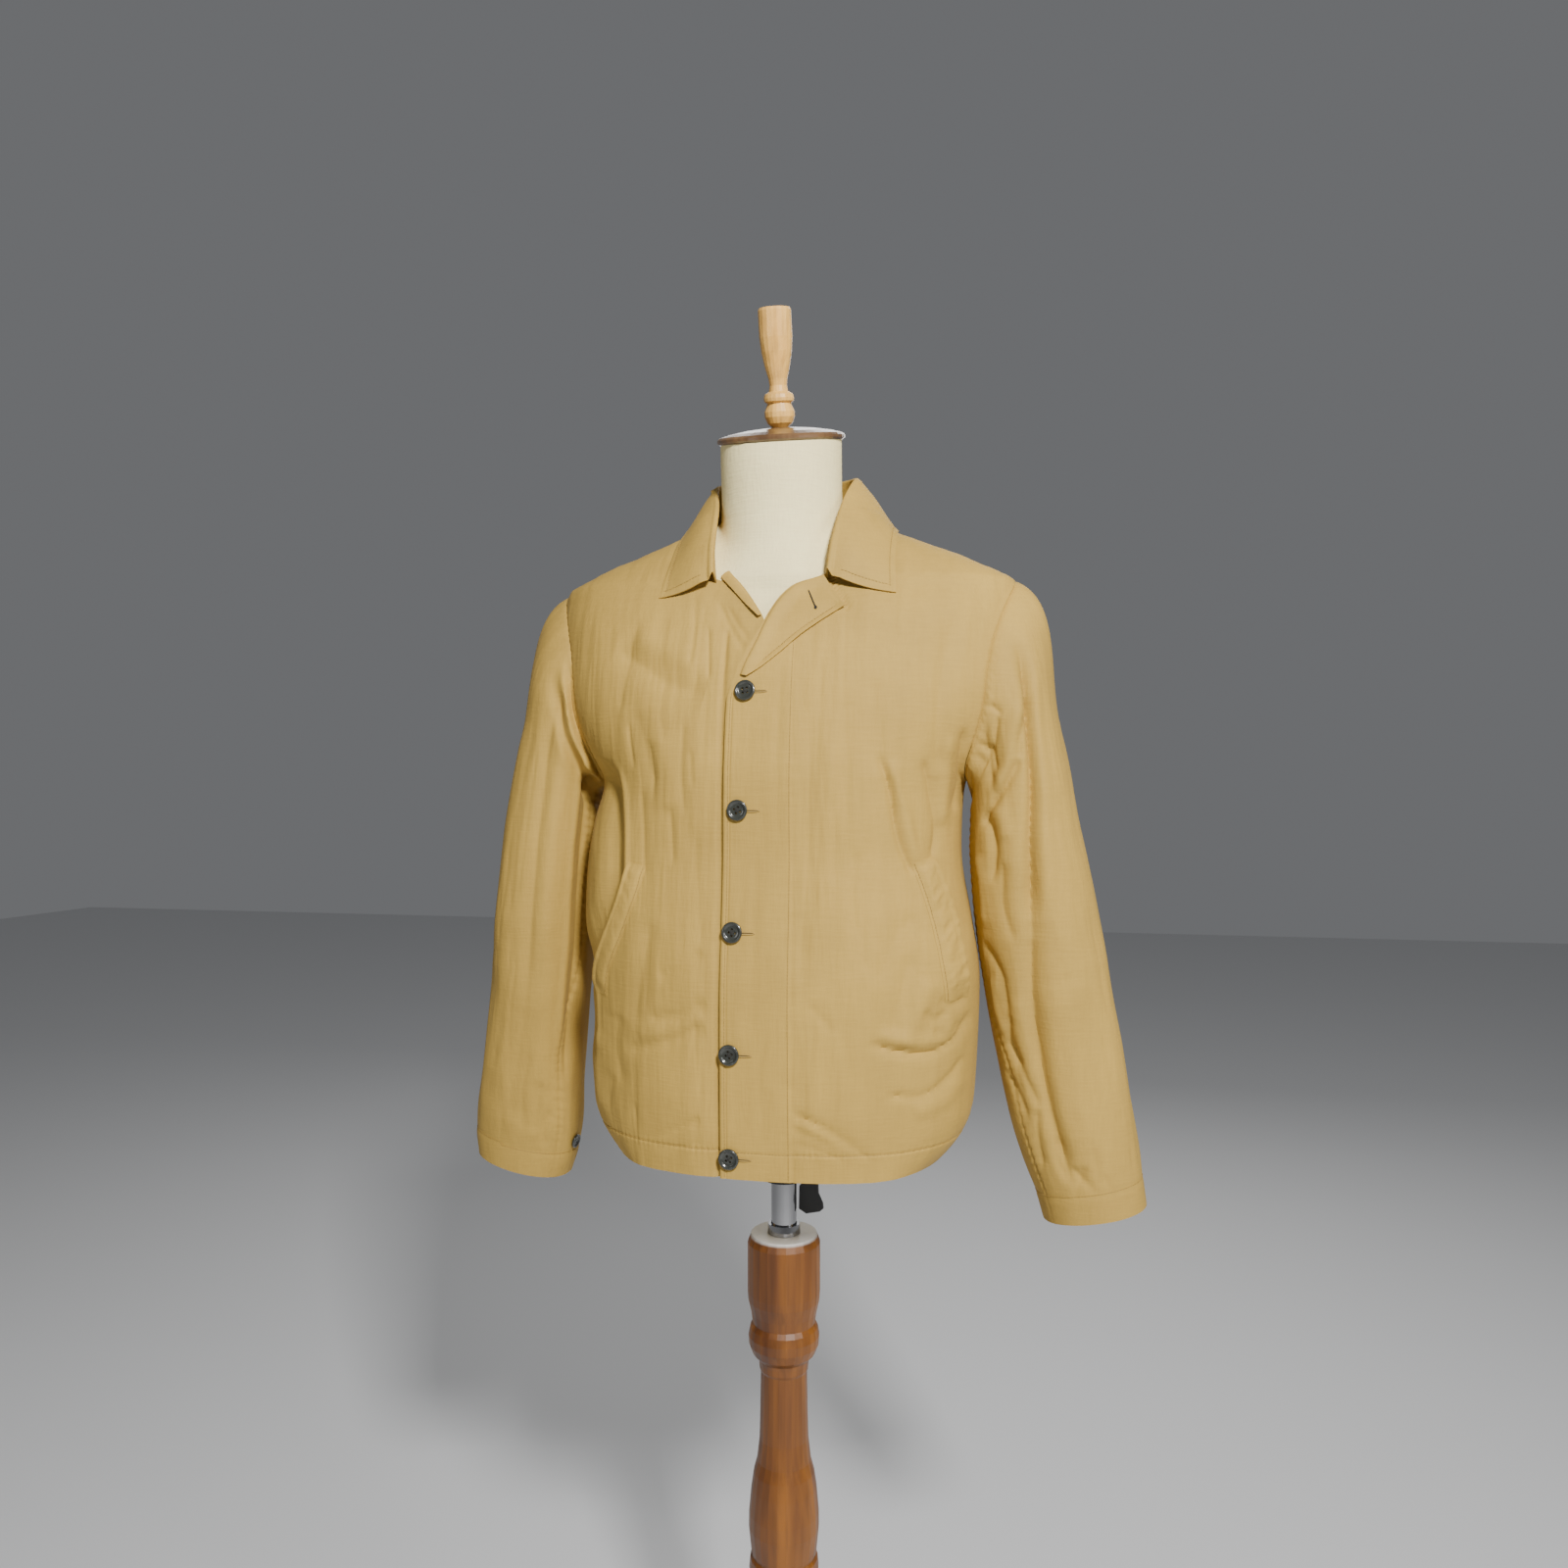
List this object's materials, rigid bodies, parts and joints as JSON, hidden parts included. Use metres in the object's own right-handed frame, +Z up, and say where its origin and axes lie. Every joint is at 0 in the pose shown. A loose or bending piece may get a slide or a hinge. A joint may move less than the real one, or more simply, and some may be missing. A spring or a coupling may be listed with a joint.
{
  "type": "coach jacket on a limbless dress form",
  "caption": "Light cotton coach jacket with a button front, spread collar and slanted welt pockets, worn on a limbless dress form with a turned stand.",
  "frame": {"origin": "middle of the base's underside, on the floor under the pole", "axes": "+Z up along the pole, -Y the way the jacket's front faces, +X the wearer's left"},
  "size_m": [0.7141, 0.42, 1.7111],
  "materials": {
    "column_wood": "satin varnish, turned",
    "chrome": "polished",
    "clamp_black": "black",
    "form_linen": "cream cover stretched over the form",
    "cap_wood": "dark satin varnish",
    "finial_wood": "satin varnish",
    "cotton": "light cotton cloth, slight sheen",
    "cotton_facing": "light cotton cloth, slight sheen",
    "button": "dark grey-green, glossy rim"
  },
  "bodies": {
    "stand": {"base": "column_wood", "column": "column_wood", "pole_flange": "chrome", "pole": "chrome"},
    "clamp": {"clamp_collar": "clamp_black"},
    "lever": {"clamp_lever": "clamp_black"},
    "form": {"dress_form": "form_linen", "neck_cap": "cap_wood", "finial": "finial_wood", "front_left": "cotton", "front_right": "cotton", "back": "cotton", "sleeve_left": "cotton", "sleeve_right": "cotton", "collar": "cotton", "pocket_welt_left": "cotton", "pocket_welt_right": "cotton", "lapel_left": "cotton_facing", "lapel_right": "cotton_facing", "button_1": "button", "button_2": "button", "button_3": "button", "button_4": "button", "button_5": "button", "cuff_button_left": "button", "cuff_button_right": "button"}
  },
  "joints": [
    {"name": "height_slide", "type": "slide", "parent": "stand", "child": "clamp", "axis": [0, 0, 1], "range_m": [0, 0.2]},
    {"name": "form_turn", "type": "hinge", "parent": "clamp", "child": "form", "pos_m": [0, 0, 0.8927], "axis": [0, 0, 1], "continuous": true},
    {"name": "clamp_swing", "type": "hinge", "parent": "clamp", "child": "lever", "pos_m": [0.029, 0, 0.852], "axis": [0, -1, 0], "range_deg": [0, 70]}
  ]
}
